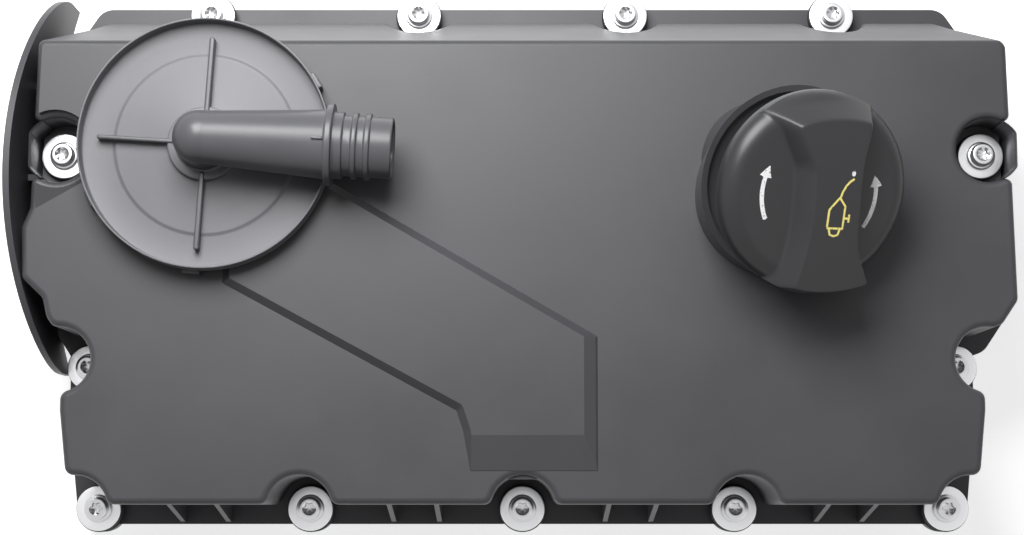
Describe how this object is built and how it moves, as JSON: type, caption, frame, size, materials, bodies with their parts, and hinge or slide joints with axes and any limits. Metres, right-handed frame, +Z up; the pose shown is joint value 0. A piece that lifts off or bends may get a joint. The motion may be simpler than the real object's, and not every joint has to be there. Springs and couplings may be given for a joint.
{
  "type": "engine valve cover",
  "caption": "Hollow moulded engine valve cover with a leaning oil filler neck and cap, a breather lid with hose stub, a timing-end guard and captive sealing screws.",
  "frame": {"origin": "middle screw of the front row, on the sealing plane", "axes": "+X along the crankshaft from the timing end to the flywheel end, +Y to the rear row of screws, +Z up out of the engine"},
  "size_m": [0.412, 0.2284, 0.1426],
  "materials": {
    "cover_plastic": "matt grained black glass-filled nylon",
    "lid_plastic": "satin dark grey nylon",
    "cap_plastic": "satin black",
    "inner_plastic": "matt",
    "screw_steel": "bright zinc plated",
    "sleeve_steel": "bright zinc plated",
    "seal_rubber": "matt black rubber"
  },
  "bodies": {
    "cover": {"cover_shell": "cover_plastic", "perimeter_gasket": "seal_rubber", "screw_01": "screw_steel", "sleeve_01": "sleeve_steel", "grommet_01": "seal_rubber", "screw_02": "screw_steel", "sleeve_02": "sleeve_steel", "grommet_02": "seal_rubber", "screw_03": "screw_steel", "sleeve_03": "sleeve_steel", "grommet_03": "seal_rubber", "screw_04": "screw_steel", "sleeve_04": "sleeve_steel", "grommet_04": "seal_rubber", "screw_05": "screw_steel", "sleeve_05": "sleeve_steel", "grommet_05": "seal_rubber", "screw_06": "screw_steel", "sleeve_06": "sleeve_steel", "grommet_06": "seal_rubber", "screw_07": "screw_steel", "sleeve_07": "sleeve_steel", "grommet_07": "seal_rubber", "screw_08": "screw_steel", "sleeve_08": "sleeve_steel", "grommet_08": "seal_rubber", "screw_09": "screw_steel", "sleeve_09": "sleeve_steel", "grommet_09": "seal_rubber", "screw_10": "screw_steel", "sleeve_10": "sleeve_steel", "grommet_10": "seal_rubber", "screw_11": "screw_steel", "sleeve_11": "sleeve_steel", "grommet_11": "seal_rubber", "screw_12": "screw_steel", "sleeve_12": "sleeve_steel", "grommet_12": "seal_rubber", "screw_13": "screw_steel", "sleeve_13": "sleeve_steel", "grommet_13": "seal_rubber", "breather_lid": "lid_plastic", "lid_seal": "seal_rubber", "membrane_clamp_ring": "inner_plastic", "drain_valve": "seal_rubber", "separator_plate": "inner_plastic", "separator_screw_1": "screw_steel", "separator_screw_2": "screw_steel", "separator_screw_3": "screw_steel", "separator_screw_4": "screw_steel"},
    "membrane_set": {"membrane": "seal_rubber", "membrane_plate": "inner_plastic", "breather_spring": "screw_steel"},
    "seal_ring": {"cap_seal": "seal_rubber"},
    "filler_cap": {"cap_knob": "cap_plastic", "cap_plug": "cap_plastic"}
  },
  "joints": [
    {"name": "membrane_travel", "type": "slide", "parent": "cover", "child": "membrane_set", "axis": [0, 0, 1], "range_m": [0, 0.003], "stiffness_N_per_m": 60, "deforming": ["membrane", "breather_spring"]},
    {"name": "cap_lift", "type": "slide", "parent": "cover", "child": "seal_ring", "axis": [0.2832, -0.3359, 0.8983], "range_m": [0, 0.04]},
    {"name": "cap_turn", "type": "hinge", "parent": "seal_ring", "child": "filler_cap", "pos_m": [0.1045, 0.127, 0.0833], "axis": [0.2832, -0.3359, 0.8983], "range_deg": [-90, 0]}
  ]
}
